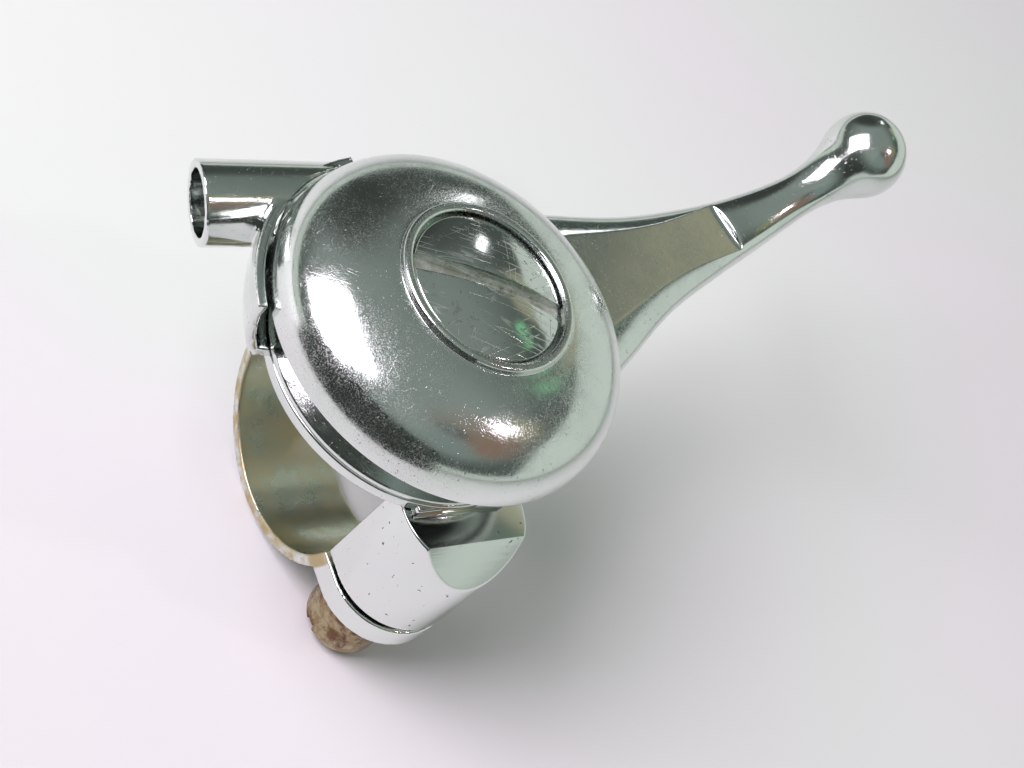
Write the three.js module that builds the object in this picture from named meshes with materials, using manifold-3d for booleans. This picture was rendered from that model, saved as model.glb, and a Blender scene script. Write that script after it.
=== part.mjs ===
// Handlebar thumb shifter: a domed friction lever on a hinged clamp, in millimetres, +Z up.
// X runs along the handlebar, Z is the lever's pivot axis, and the origin is on the handlebar's axis.
import * as THREE from "three";
import { mergeVertices } from "three/addons/utils/BufferGeometryUtils.js";
import Module from "manifold-3d";

const wasm = await Module();
wasm.setup();

// ---- Driving dimensions ----
const BAR_RADIUS = 11.1; // a 22.2 mm handlebar
const FIT_GAP = 0.06; // radial gap of a running fit
const STEP_GAP = 0.05; // gap between stacked pieces
const ROUND = 72; // sides of a large round piece
const SMALL_ROUND = 36; // sides of a small round piece

// Start and end are the angles between which the strap goes round the bar.
const clamp = { left: -4.9, right: 5.4, strapThickness: 1.15, start: -6, end: -167 };
const lug = { x: 1.25, y: -13.55, radius: 6.45, bottom: -1.4, top: 10.95, crease: -17.0, slope: 1.2 };
const flange = { top: -2.1, bottom: -4.8, innerY: -9.6 };
const hinge = { y: 13.45, z: -0.9, radius: 2.1, pinRadius: 1.1, left: -2.3, right: 2.8 };
const clampScrew = { x: 0.5, y: -14.3, radius: 2.25, headRadius: 3.8, headHeight: 7.1, tip: 7.6 };
const plate = { radius: 14.1, bottom: 11.2, top: 12.4 };
const fence = { inner: 17.3, outer: 18.25, top: 18.7, start: 100, end: 171 };
const cableStop = { y: 15.0, z: 15.4, radius: 3.75, left: -19.5, right: -2.5 };
// Slant and skew tilt the mouth of the cable stop, in degrees.
const casing = { bore: 3.0, seat: -11.0, cableHole: 1.1, slant: 16.8, skew: 7.9 };
const post = { radius: 4.0, top: 20.6, flat: 3.3, flatBottom: 17.8, threadRadius: 2.6, threadBottom: 14.5 };
// The drum is full size on the cable's side only; elsewhere a cone leads up from its edge to the waist.
const drum = { radius: 14.2, waist: 12.8, bottom: 12.7, top: 17.8, edge: 0.45, hubRadius: 5.5, recess: 9.3 };
const cableSide = { start: 62, end: 172, groove: 75 };
const arm = { angle: 15, flatTop: 17.7, shoulder: 43.5 };
const ball = { reach: 61.1, z: 24.8, radius: 4.74 };
const stopPeg = { ring: 11.3, radius: 1.1, angle: 270, height: 1.0, grooveHalf: 1.5, spare: 7 };
const swing = { back: -75, forward: 40 }; // degrees that the lever turns from rest
const dome = { radius: 16.95, bottom: 18.2, skirtTop: 18.8, centre: 6.0, fullness: 0.88, thickness: 0.8 };
const CAP_BORE = 2.9; // radius of the hole through the cap and its collar
const lip = { outer: 8.42, inner: 7.5, base: 25.4, top: 26.1, floor: 24.7 };
const pivotScrew = { radius: 2.5, headRadius: 7.22, edgeTop: 25.6, crown: 26.6, tip: 15.6, slot: 1.6 };
const slotAngle = -22.7;

const radians = THREE.MathUtils.degToRad;

// ---- Solids from three.js geometry ----
function solid(geometry) {
  const bare = new THREE.BufferGeometry();
  bare.setAttribute("position", geometry.getAttribute("position"));
  if (geometry.index) bare.setIndex(geometry.index);
  const merged = mergeVertices(bare, 1e-4);
  return new wasm.Manifold(
    new wasm.Mesh({
      numProp: 3,
      vertProperties: merged.attributes.position.array,
      triVerts: new Uint32Array(merged.index.array),
    }),
  );
}

function mesh(name, body, look) {
  const made = body.getMesh();
  const geometry = new THREE.BufferGeometry();
  geometry.setAttribute("position", new THREE.BufferAttribute(made.vertProperties, made.numProp));
  geometry.setIndex(new THREE.BufferAttribute(made.triVerts, 1));
  const flat = geometry.toNonIndexed();
  flat.computeVertexNormals();
  const piece = new THREE.Mesh(flat, new THREE.MeshStandardMaterial(look));
  piece.name = name;
  return piece;
}

// An upright cylinder or cone frustum between two heights.
function upright(radius, bottom, top, x = 0, y = 0, sides = ROUND, topRadius = radius) {
  const shape = new THREE.CylinderGeometry(topRadius, radius, top - bottom, sides);
  shape.rotateX(Math.PI / 2);
  shape.translate(x, y, (bottom + top) / 2);
  return solid(shape);
}

// A cylinder along X between two places.
function alongX(radius, left, right, y, z, sides = ROUND) {
  const shape = new THREE.CylinderGeometry(radius, radius, right - left, sides);
  shape.rotateZ(-Math.PI / 2);
  shape.translate((left + right) / 2, y, z);
  return solid(shape);
}

function box(low, high) {
  const shape = new THREE.BoxGeometry(high[0] - low[0], high[1] - low[1], high[2] - low[2]);
  shape.translate((low[0] + high[0]) / 2, (low[1] + high[1]) / 2, (low[2] + high[2]) / 2);
  return solid(shape);
}

// A profile of [radius, height] points, from the axis or closed on itself, turned about Z.
function turned(points, sides = ROUND) {
  const shape = new THREE.LatheGeometry(points.map(([r, z]) => new THREE.Vector2(r, z)), sides);
  shape.rotateX(Math.PI / 2);
  return solid(shape);
}

// A ring of rectangular section round Z.
function ring(inner, outer, bottom, top, sides = ROUND) {
  return upright(outer, bottom, top, 0, 0, sides).subtract(upright(inner, bottom - 1, top + 1, 0, 0, sides));
}

function prism(shape, bottom, top, curveSegments = 24) {
  const made = new THREE.ExtrudeGeometry(shape, { depth: top - bottom, bevelEnabled: false, curveSegments });
  made.translate(0, 0, bottom);
  return solid(made);
}

// A wedge of a disc between two angles in degrees.
function wedge(start, end, reach, bottom, top) {
  const shape = new THREE.Shape();
  shape.moveTo(0, 0);
  for (let degrees = start; degrees <= end; degrees += 1) {
    shape.lineTo(reach * Math.cos(radians(degrees)), reach * Math.sin(radians(degrees)));
  }
  shape.closePath();
  return prism(shape, bottom, top);
}

// ---- Body casting ----
// Plan outline shared by the lug of the body and the flange of the strap: a tongue with a round end.
function tonguePlan(innerY) {
  const shape = new THREE.Shape();
  shape.moveTo(clamp.left, innerY);
  shape.lineTo(lug.x - lug.radius, lug.y);
  shape.absarc(lug.x, lug.y, lug.radius, Math.PI, 2 * Math.PI, false);
  shape.lineTo(clamp.right + 0.9, innerY);
  shape.closePath();
  return shape;
}

function lugBlock() {
  const innerY = -BAR_RADIUS - STEP_GAP;
  const block = prism(tonguePlan(innerY), lug.bottom, lug.top);
  const underPlate = prism(tonguePlan(innerY), lug.bottom, plate.top - 0.4).intersect(
    upright(plate.radius, lug.bottom, plate.top),
  );
  const face = new THREE.Shape();
  face.moveTo(lug.crease, lug.top);
  face.lineTo(lug.crease - 10, lug.top - 10 * lug.slope);
  face.lineTo(lug.crease - 10, lug.top + 2);
  face.lineTo(lug.crease, lug.top + 2);
  face.closePath();
  const cutter = new THREE.ExtrudeGeometry(face, { depth: 30, bevelEnabled: false });
  // The profile is drawn in Y and Z and runs along X.
  cutter.applyMatrix4(
    new THREE.Matrix4().set(0, 0, 1, -15, 1, 0, 0, 0, 0, 1, 0, 0, 0, 0, 0, 1),
  );
  return block.add(underPlate).subtract(solid(cutter));
}

// The inside of the raised wall, from the plate up to its straight part.
function chamberWall() {
  return [
    [15.2, plate.top],
    [16.1, plate.top + 1.6],
    [16.8, plate.top + 3.2],
    [fence.inner, plate.top + 5.0],
  ];
}

// The room inside the wall, in which the drum turns.
function chamberRoom() {
  const above = fence.top + 4;
  return turned([[0, plate.top], ...chamberWall(), [fence.inner, above], [0, above]]);
}

// The raised wall round the cable's side, with an undercut below its rim.
function fenceWall() {
  const wall = turned([
    [plate.radius - 1.5, plate.bottom],
    [15.2, plate.bottom],
    [16.3, plate.top],
    [17.2, plate.top + 1.6],
    [17.8, plate.top + 3.2],
    [fence.outer, plate.top + 5.2],
    [fence.outer, fence.top],
    [fence.inner, fence.top],
    ...chamberWall().reverse(),
    [plate.radius - 1.5, plate.top],
    [plate.radius - 1.5, plate.bottom],
  ]);
  return wall.intersect(wedge(fence.start, fence.end, 30, plate.bottom - 1, fence.top + 1));
}

function cableStopTube() {
  return alongX(cableStop.radius, cableStop.left, cableStop.right, cableStop.y, cableStop.z, SMALL_ROUND);
}

// Cutters that open the cable stop: the slanted mouth, the casing's bore and the cable's own hole.
function cableStopCuts() {
  const mouth = new THREE.BoxGeometry(6, 16, 16);
  mouth.translate(-3, 0, 0);
  mouth.rotateY(radians(-casing.slant));
  mouth.rotateZ(radians(-casing.skew));
  mouth.translate(cableStop.left + 1.25, cableStop.y, cableStop.z);
  return solid(mouth)
    .add(alongX(casing.bore, cableStop.left - 5, casing.seat, cableStop.y, cableStop.z, SMALL_ROUND))
    .add(alongX(casing.cableHole, casing.seat - 1, 0, cableStop.y, cableStop.z, SMALL_ROUND));
}

function hingeLimb() {
  const outer = hinge.y + 0.85;
  const limb = box([clamp.left, BAR_RADIUS + STEP_GAP, hinge.z], [clamp.right, outer, plate.bottom + 0.6]);
  const plateJoin = upright(plate.radius + 0.4, plate.bottom, plate.top - 0.4).intersect(
    box([clamp.left, 8, plate.bottom], [clamp.right, 15, plate.top]),
  );
  const ears = alongX(hinge.radius, clamp.left, clamp.right, hinge.y, hinge.z, SMALL_ROUND);
  const between = alongX(hinge.radius + 0.3, hinge.left, hinge.right, hinge.y, hinge.z, SMALL_ROUND);
  const below = box([hinge.left, 8, -6], [hinge.right, hinge.y + 3, hinge.z]);
  return limb.add(plateJoin).add(ears).subtract(between).subtract(below);
}

function bodyCasting() {
  const disc = upright(plate.radius, plate.bottom, plate.top);
  const peg = upright(
    stopPeg.radius,
    plate.top - 0.4,
    plate.top + stopPeg.height,
    stopPeg.ring * Math.cos(radians(stopPeg.angle)),
    stopPeg.ring * Math.sin(radians(stopPeg.angle)),
    SMALL_ROUND,
  );
  return disc
    .add(fenceWall())
    .add(cableStopTube())
    .subtract(chamberRoom())
    .subtract(cableStopCuts())
    .add(lugBlock())
    .add(hingeLimb())
    .add(peg)
    .subtract(alongX(BAR_RADIUS, -12, 12, 0, 0))
    .subtract(upright(post.radius - 0.5 + STEP_GAP, 0, plate.top + 1, 0, 0, SMALL_ROUND))
    .subtract(alongX(hinge.pinRadius + STEP_GAP, -12, 12, hinge.y, hinge.z, SMALL_ROUND))
    .subtract(
      upright(clampScrew.radius + 0.4, -4, clampScrew.tip + 1, clampScrew.x, clampScrew.y, SMALL_ROUND),
    );
}

// ---- Handlebar clamp ----
function arcBand(inner, outer, start, end) {
  const shape = new THREE.Shape();
  shape.absarc(0, 0, outer, radians(start), radians(end), true);
  shape.absarc(0, 0, inner, radians(end), radians(start), false);
  shape.closePath();
  return shape;
}

function bandAlongX(shape, left, right) {
  const options = { depth: right - left, bevelEnabled: false, curveSegments: 40 };
  const made = new THREE.ExtrudeGeometry(shape, options);
  made.applyMatrix4(new THREE.Matrix4().set(0, 0, 1, left, 1, 0, 0, 0, 0, 1, 0, 0, 0, 0, 0, 1));
  return solid(made);
}

function clampStrap() {
  const outer = BAR_RADIUS + clamp.strapThickness;
  // The band starts inside the bar's place, and the bar then cuts it, so both share one round surface.
  const band = bandAlongX(arcBand(BAR_RADIUS - 0.6, outer, clamp.start, clamp.end), clamp.left, clamp.right);
  const tongueLeft = hinge.left + 0.25;
  const tongueRight = hinge.right - 0.25;
  const shoulder = hinge.z - hinge.radius - 0.4;
  const besideTongue = box([clamp.left - 1, 8, shoulder], [tongueLeft, 15, 2]).add(
    box([tongueRight, 8, shoulder], [clamp.right + 1, 15, 2]),
  );
  const barrel = alongX(hinge.radius, tongueLeft, tongueRight, hinge.y, hinge.z, SMALL_ROUND);
  const flangeBlock = prism(tonguePlan(flange.innerY), flange.bottom, flange.top);
  return band
    .subtract(besideTongue)
    .add(barrel)
    .add(flangeBlock)
    .subtract(alongX(BAR_RADIUS, -12, 12, 0, 0))
    .subtract(alongX(hinge.pinRadius + FIT_GAP, -12, 12, hinge.y, hinge.z, SMALL_ROUND))
    .subtract(upright(clampScrew.radius + 0.35, -9, 0, clampScrew.x, clampScrew.y, SMALL_ROUND))
    .subtract(
      upright(clampScrew.headRadius + 0.15, -14, flange.bottom, clampScrew.x, clampScrew.y, SMALL_ROUND),
    );
}

function hingePin() {
  return alongX(hinge.pinRadius, clamp.left + 0.1, clamp.right - 0.1, hinge.y, hinge.z, SMALL_ROUND);
}

// A cheese-head screw seen from below, with its slot across the lower face.
function clampScrewSolid() {
  const top = flange.bottom - STEP_GAP;
  const bottom = top - clampScrew.headHeight;
  const r = clampScrew.headRadius;
  const screw = turned(
    [
      [0, bottom],
      [r - 1.3, bottom + 0.05],
      [r - 0.4, bottom + 0.5],
      [r, bottom + 1.4],
      [r, top - 0.3],
      [r - 0.3, top],
      [clampScrew.radius, top],
      [clampScrew.radius, clampScrew.tip - 0.6],
      [clampScrew.radius - 0.6, clampScrew.tip],
      [0, clampScrew.tip],
    ],
    SMALL_ROUND,
  ).translate([clampScrew.x, clampScrew.y, 0]);
  const slot = box(
    [clampScrew.x - 6, clampScrew.y - 0.65, bottom - 1],
    [clampScrew.x + 6, clampScrew.y + 0.65, bottom + 1.3],
  );
  return screw.subtract(slot);
}

// ---- Pivot stack ----
// A post riveted through the plate, with two flats that key the upper washer and the thread for the screw.
function pivotPost() {
  const stud = upright(post.radius - 0.5, BAR_RADIUS + 0.15, plate.top + 0.2, 0, 0, SMALL_ROUND);
  const shank = upright(post.radius, plate.top + STEP_GAP, post.top);
  const sides = box([-9, post.flat, post.flatBottom], [9, 9, post.top + 1]).add(
    box([-9, -9, post.flatBottom], [9, -post.flat, post.top + 1]),
  );
  const thread = upright(post.threadRadius, post.threadBottom, post.top + 1, 0, 0, SMALL_ROUND);
  return stud.add(shank).subtract(sides).subtract(thread);
}

function lowerWasher() {
  return ring(post.radius + 0.3, 9.0, plate.top + STEP_GAP, plate.top + 0.8);
}

function leverBush() {
  return ring(post.radius + FIT_GAP, drum.hubRadius - 0.02, plate.top + 0.9, drum.top - STEP_GAP);
}

function upperWasher() {
  const bottom = drum.top + STEP_GAP;
  const blank = upright(12.0, bottom, bottom + 0.9);
  const keyed = upright(post.radius + FIT_GAP, bottom - 1, bottom + 2).intersect(
    box([-9, -post.flat - FIT_GAP, bottom - 1], [9, post.flat + FIT_GAP, bottom + 2]),
  );
  return blank.subtract(keyed);
}

// A shallow cone that the cap presses flat.
function discSpring() {
  const bottom = drum.top + 1.0;
  const thickness = 0.7;
  return turned([
    [11.4, bottom],
    [11.4, bottom + thickness],
    [4.4, bottom + 1.4 + thickness],
    [4.4, bottom + 1.4],
    [11.4, bottom],
  ]);
}

function pressureCollar() {
  const bottom = drum.top + 3.2;
  const underCap = lip.floor - dome.thickness - STEP_GAP;
  return turned(
    [
      [CAP_BORE, bottom],
      [6.2, bottom],
      [6.2, bottom + 0.8],
      [7.0, bottom + 1.2],
      [7.0, underCap],
      [CAP_BORE, underCap],
      [CAP_BORE, bottom],
    ],
    SMALL_ROUND,
  );
}

// A point of the dome's curve, upright at the rim (t = 0) and nearly level at the lip (t = 1).
// Inset moves it inwards.
function domeCurve(t, inset) {
  const reach = dome.radius - dome.centre;
  const last = Math.acos(((lip.outer - dome.centre) / reach) ** (1 / dome.fullness));
  const height = (lip.base - dome.skirtTop) / Math.sin(last) ** dome.fullness;
  const out = (reach - inset) * Math.cos(last * t) ** dome.fullness;
  const up = (height - inset) * Math.sin(last * t) ** dome.fullness;
  return [dome.centre + out, dome.skirtTop + up];
}

function domeCap() {
  const steps = 12;
  const outside = [];
  const inside = [];
  for (let i = 1; i < steps; i++) {
    outside.push(domeCurve(i / steps, 0));
    inside.push(domeCurve(i / steps, dome.thickness));
  }
  const under = lip.floor - dome.thickness;
  const profile = [
    [dome.radius - dome.thickness, dome.bottom],
    [dome.radius, dome.bottom],
    [dome.radius, dome.skirtTop],
    ...outside,
    [lip.outer, lip.base],
    [lip.outer - 0.1, lip.top - 0.2],
    [lip.outer - 0.3, lip.top],
    [lip.inner + 0.25, lip.top],
    [lip.inner, lip.top - 0.25],
    [lip.inner, lip.floor],
    [CAP_BORE, lip.floor],
    [CAP_BORE, under],
    [lip.outer - 0.9, under],
    ...inside.reverse(),
    [dome.radius - dome.thickness, dome.skirtTop],
    [dome.radius - dome.thickness, dome.bottom],
  ];
  return turned(profile);
}

function pivotScrewSolid() {
  const seat = lip.floor + STEP_GAP;
  const r = pivotScrew.headRadius;
  const rise = pivotScrew.crown - pivotScrew.edgeTop;
  const crown = [];
  for (let i = 1; i <= 6; i++) {
    const radius = (r - 0.25) * (1 - i / 6);
    crown.push([radius, pivotScrew.crown - rise * (radius / r) ** 2]);
  }
  const screw = turned([
    [0, pivotScrew.tip],
    [pivotScrew.radius - 0.6, pivotScrew.tip],
    [pivotScrew.radius, pivotScrew.tip + 0.6],
    [pivotScrew.radius, seat],
    [r, seat],
    [r, pivotScrew.edgeTop - 0.25],
    [r - 0.25, pivotScrew.edgeTop],
    ...crown,
  ]);
  const slot = box(
    [-9, -pivotScrew.slot / 2, pivotScrew.edgeTop - 0.55],
    [9, pivotScrew.slot / 2, pivotScrew.crown + 1],
  ).rotate([0, 0, slotAngle]);
  return screw.subtract(slot);
}

// ---- Lever ----
// Stations of the arm: reach from the pivot, height of the middle, half width, half thickness.
const armStations = [
  [12.0, 15.65, 11.6, 2.3],
  [17.0, 15.65, 9.9, 2.3],
  [22.5, 15.65, 8.2, 2.3],
  [26.5, 15.65, 6.75, 2.3],
  [30.5, 15.65, 5.6, 2.3],
  [34.5, 15.65, 4.85, 2.3],
  [39.0, 15.75, 4.15, 2.35],
  [43.4, 16.0, 3.55, 2.4],
  [47.5, 16.8, 3.05, 2.35],
  [51.5, 18.3, 2.5, 2.2],
  [54.5, 20.0, 2.25, 2.15],
  [57.0, 21.8, 2.6, 2.5],
  [59.0, 23.3, 3.5, 3.4],
  [60.5, 24.3, 4.3, 4.2],
];

// A closed skin over rounded sections that stand square to the arm's rising middle line.
function armSkin() {
  const sides = 24;
  const positions = [];
  const triangles = [];
  const squareness = 0.82; // below 1, the section is fuller than an ellipse
  const direction = new THREE.Vector3(Math.cos(radians(arm.angle)), Math.sin(radians(arm.angle)), 0);
  const across = new THREE.Vector3(-direction.y, direction.x, 0);
  armStations.forEach(([reach, height, halfWidth, halfThickness], i) => {
    const before = armStations[Math.max(0, i - 1)];
    const after = armStations[Math.min(armStations.length - 1, i + 1)];
    const slope = Math.atan2(after[1] - before[1], after[0] - before[0]);
    const up = direction.clone().multiplyScalar(-Math.sin(slope)).setZ(Math.cos(slope));
    const middle = direction.clone().multiplyScalar(reach).setZ(height);
    for (let k = 0; k < sides; k++) {
      const turn = (2 * Math.PI * k) / sides;
      const round = reach > 50 ? 1 : squareness;
      const wide = Math.sign(Math.cos(turn)) * Math.abs(Math.cos(turn)) ** round * halfWidth;
      const tall = Math.sign(Math.sin(turn)) * Math.abs(Math.sin(turn)) ** round * halfThickness;
      const point = middle.clone().addScaledVector(across, wide).addScaledVector(up, tall);
      positions.push(point.x, point.y, point.z);
    }
  });
  const last = armStations.length - 1;
  for (let i = 0; i < last; i++) {
    for (let k = 0; k < sides; k++) {
      const a = i * sides + k;
      const b = i * sides + ((k + 1) % sides);
      triangles.push(a, b, a + sides, b, b + sides, a + sides);
    }
  }
  for (let k = 1; k < sides - 1; k++) {
    triangles.push(0, k + 1, k);
    triangles.push(last * sides, last * sides + k, last * sides + k + 1);
  }
  const skin = new THREE.BufferGeometry();
  skin.setAttribute("position", new THREE.Float32BufferAttribute(positions, 3));
  skin.setIndex(triangles);
  return solid(skin);
}

function leverSolid() {
  const full = upright(drum.radius, drum.bottom, drum.top).intersect(
    wedge(cableSide.start, cableSide.end, 20, drum.bottom - 1, drum.top + 1),
  );
  const edgeTop = drum.bottom + drum.edge;
  const disc = turned([
    [0, drum.bottom],
    [drum.radius, drum.bottom],
    [drum.radius, edgeTop],
    [drum.waist, edgeTop + drum.radius - drum.waist],
    [drum.waist, drum.top],
    [0, drum.top],
  ]).add(full);
  const knob = new THREE.SphereGeometry(ball.radius, 32, 20);
  knob.rotateX(Math.PI / 2);
  knob.translate(
    ball.reach * Math.cos(radians(arm.angle)),
    ball.reach * Math.sin(radians(arm.angle)),
    ball.z,
  );
  const flatCut = upright(arm.shoulder, arm.flatTop, arm.flatTop + 5, 0, 0, 96);
  const below = upright(30, drum.bottom - 4, drum.bottom);
  const armBody = armSkin().subtract(flatCut).subtract(below).add(solid(knob));
  return armBody
    .add(disc)
    .subtract(upright(drum.hubRadius, 0, 30))
    .subtract(upright(drum.recess, 0, plate.top + 0.85))
    .subtract(stopGroove())
    .subtract(cableGroove());
}

// The arc-shaped groove in the drum's underside that runs over the body's stop peg.
function stopGroove() {
  const start = stopPeg.angle - swing.forward - stopPeg.spare;
  const end = stopPeg.angle - swing.back + stopPeg.spare;
  const inner = stopPeg.ring - stopPeg.grooveHalf;
  const channel = ring(inner, stopPeg.ring + stopPeg.grooveHalf, drum.bottom - 1, plate.top + 1.5);
  return channel.intersect(wedge(start, end, 20, drum.bottom - 2, plate.top + 2));
}

// The cable's groove on the drum's cable side, and the pocket for the cable's end.
function cableGroove() {
  const middle = cableStop.z - 0.2;
  const groove = turned([
    [drum.radius - 1.4, middle - 0.4],
    [drum.radius + 1, middle - 1.3],
    [drum.radius + 1, middle + 1.3],
    [drum.radius - 1.4, middle + 0.4],
    [drum.radius - 1.4, middle - 0.4],
  ]).intersect(wedge(cableSide.groove, cableSide.end + 1, 20, drum.bottom, drum.top));
  const pocketAngle = radians(78);
  const reach = drum.radius - 2.6;
  const pocket = upright(
    2.2,
    middle - 1.6,
    drum.top + 1,
    reach * Math.cos(pocketAngle),
    reach * Math.sin(pocketAngle),
    SMALL_ROUND,
  );
  return groove.add(pocket);
}

// ---- Looks and assembly ----
const chrome = { color: 0xc9cfca, roughness: 0.12, metalness: 1.0 };
const rustySteel = { color: 0x6e5440, roughness: 0.6, metalness: 0.8 };
const steel = { color: 0x8f9394, roughness: 0.35, metalness: 1.0 };
const bronze = { color: 0xa9834b, roughness: 0.4, metalness: 1.0 };
const fibre = { color: 0x5a3a2a, roughness: 0.9, metalness: 0.0 };

const shifter = new THREE.Group();
shifter.add(
  mesh("body", bodyCasting(), chrome),
  mesh("clamp_strap", clampStrap(), chrome),
  mesh("clamp_hinge_pin", hingePin(), steel),
  mesh("clamp_screw", clampScrewSolid(), rustySteel),
  mesh("pivot_post", pivotPost(), steel),
  mesh("lower_friction_washer", lowerWasher(), fibre),
  mesh("lever", leverSolid(), chrome),
  mesh("lever_bush", leverBush(), bronze),
  mesh("upper_friction_washer", upperWasher(), bronze),
  mesh("disc_spring", discSpring(), steel),
  mesh("pressure_collar", pressureCollar(), steel),
  mesh("dome_cap", domeCap(), chrome),
  mesh("pivot_screw", pivotScrewSolid(), chrome),
);

export default shifter;
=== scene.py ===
"""Looks of a chromed handlebar thumb shifter, laid out as an add-on: one operator for each piece."""

import math

import bmesh
import bpy
from mathutils import Matrix, Vector


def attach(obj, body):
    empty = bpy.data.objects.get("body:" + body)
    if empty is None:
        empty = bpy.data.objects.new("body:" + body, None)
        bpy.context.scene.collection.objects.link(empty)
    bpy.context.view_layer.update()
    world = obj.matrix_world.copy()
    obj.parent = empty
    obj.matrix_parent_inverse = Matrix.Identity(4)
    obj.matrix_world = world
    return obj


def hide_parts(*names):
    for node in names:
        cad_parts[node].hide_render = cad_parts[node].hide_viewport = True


bl_info = {
    "name": "Thumb shifter",
    "version": (1, 0, 0),
    "blender": (4, 5, 0),
    "location": "3D View > Sidebar > Shifter",
    "description": "Builds the visible pieces of a chromed handlebar thumb shifter round its CAD frame",
    "category": "Add Mesh",
}

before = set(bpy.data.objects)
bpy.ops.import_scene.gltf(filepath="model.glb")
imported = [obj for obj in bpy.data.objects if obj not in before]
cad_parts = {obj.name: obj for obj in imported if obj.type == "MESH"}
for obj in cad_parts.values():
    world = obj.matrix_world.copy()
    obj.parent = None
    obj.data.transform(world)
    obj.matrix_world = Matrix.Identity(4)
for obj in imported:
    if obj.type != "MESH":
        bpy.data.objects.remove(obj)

MM = 0.001  # one millimetre in scene units
FULL_TURN = 2 * math.pi

# ---- Sizes of the shifter in millimetres, origin on the bar's axis below the pivot ----
BAR_RADIUS = 11.1
CLAMP_LEFT = -4.9
CLAMP_RIGHT = 5.4
STRAP_THICKNESS = 1.15
STRAP_START = -6.0  # degrees about the bar, from +Y
STRAP_END = -167.0

HINGE_Y = 13.45
HINGE_Z = -0.9
HINGE_RADIUS = 2.1
PIN_RADIUS = 1.1
EAR_LEFT = -2.3  # inner faces of the two hinge ears
EAR_RIGHT = 2.8
BARREL_LEFT = -2.05
BARREL_RIGHT = 2.55

LUG_X = 1.25
LUG_TIP = -20.0
LUG_HALF = 6.45
LUG_BOTTOM = -1.4
LUG_TOP = 10.95
LUG_CREASE = -17.0  # where the flat top ends and the slope begins
LUG_SLOPE = 1.2
FLANGE_INNER = -9.6
FLANGE_TOP = -2.1
FLANGE_BOTTOM = -4.8

SCREW_X = 0.5  # axis of the clamp screw
SCREW_Y = -14.3
SCREW_RADIUS = 2.25
SCREW_HEAD = 3.8
SCREW_HEAD_TOP = -4.85
SCREW_BOTTOM = -11.95
SCREW_TIP = 7.6

PLATE_RADIUS = 14.1
PLATE_BOTTOM = 11.2
PLATE_TOP = 12.4
POST_RADIUS = 3.55
PEG_RING = 11.3
PEG_RADIUS = 1.1

WALL_START = 100.0  # degrees about the pivot
WALL_END = 171.0
WALL_INNER = 17.3
WALL_OUTER = 18.25
WALL_TOP = 18.7
# Inside of the wall round the drum, from the plate up: radius, height, rounding.
CHAMBER_WALL = ((15.2, 12.4, 0), (16.1, 14.0, 0), (16.8, 15.6, 0), (17.3, 17.4, 0))
WALL_OUTSIDE = ((15.2, 11.2, 0), (16.3, 12.4, 0), (17.2, 14.0, 0), (17.8, 15.6, 0), (18.25, 17.6, 0))

STOP_Y = 15.0  # middle line of the cable stop
STOP_Z = 15.4
STOP_RADIUS = 3.78
STOP_LEFT = -19.6
STOP_RIGHT = -2.5
MOUTH_X = -18.25
MOUTH_SKEW = -7.9  # degrees about Z
MOUTH_SLANT = -16.8  # degrees about Y
CASING_RADIUS = 3.0
CASING_SEAT = -11.0
CABLE_RADIUS = 1.1

DRUM_RADIUS = 14.2
DRUM_WAIST = 12.8
DRUM_BOTTOM = 12.7
DRUM_TOP = 17.8
DRUM_RECESS = 9.3  # radius of the recess under the drum
RECESS_TOP = 13.25
HUB_RADIUS = 5.5
CABLE_SIDE = (62.0, 172.0)  # degrees between which the drum is full size
CABLE_GROOVE = (75.0, 173.0)

SKIRT_BOTTOM = 18.2
SKIRT_TOP = 18.8
CAP_WALL = 0.8
DOME_CENTRE = 6.0  # radius from which the dome's curve is drawn
LIP_OUTER = 8.42
LIP_INNER = 7.5
LIP_BASE = 25.4
LIP_TOP = 26.1
CAP_FLOOR = 24.7
CAP_BORE = 2.9
DOME_STEPS = 31

HEAD_BOTTOM = 24.75
HEAD_EDGE = 25.61
HEAD_CROWN = 26.6
CROWN_RISE = 1.0
CROWN_STEPS = 9
SLOT_FLOOR = 25.05
PIVOT_TIP = 15.6
PIVOT_SHANK = 2.5

# Stations of the arm: reach, height of the middle, half width, half thickness, 1 where the top is cut flat.
ARM_STATIONS = (
    (11.0, 15.65, 12.0, 2.3, 1),
    (14.5, 15.65, 10.8, 2.3, 1),
    (17.0, 15.65, 9.9, 2.3, 1),
    (19.5, 15.65, 9.1, 2.3, 1),
    (22.5, 15.65, 8.2, 2.3, 1),
    (26.5, 15.65, 6.8, 2.3, 1),
    (30.5, 15.65, 5.65, 2.3, 1),
    (34.5, 15.65, 4.9, 2.3, 1),
    (39.0, 15.75, 4.2, 2.35, 1),
    (42.6, 15.95, 3.68, 2.4, 1),
    (43.35, 16.0, 3.6, 2.4, 1),
    (43.5, 16.02, 3.59, 2.4, 0),
    (44.1, 16.1, 3.5, 2.4, 0),
    (47.5, 16.8, 3.1, 2.37, 0),
    (51.5, 18.3, 2.55, 2.25, 0),
    (54.5, 20.0, 2.3, 2.2, 0),
    (57.0, 21.8, 2.65, 2.55, 0),
)
ARM_ANGLE = 15.0
FLAT_TOP = 17.7
BALL_REACH = 61.1
BALL_Z = 24.8
BALL_RADIUS = 4.74
BALL_TILT = 36.0  # rise of the neck into the ball, in degrees
BALL_STATIONS = (128, 108, 86, 64, 42, 20)  # degrees from the ball's far pole


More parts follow.
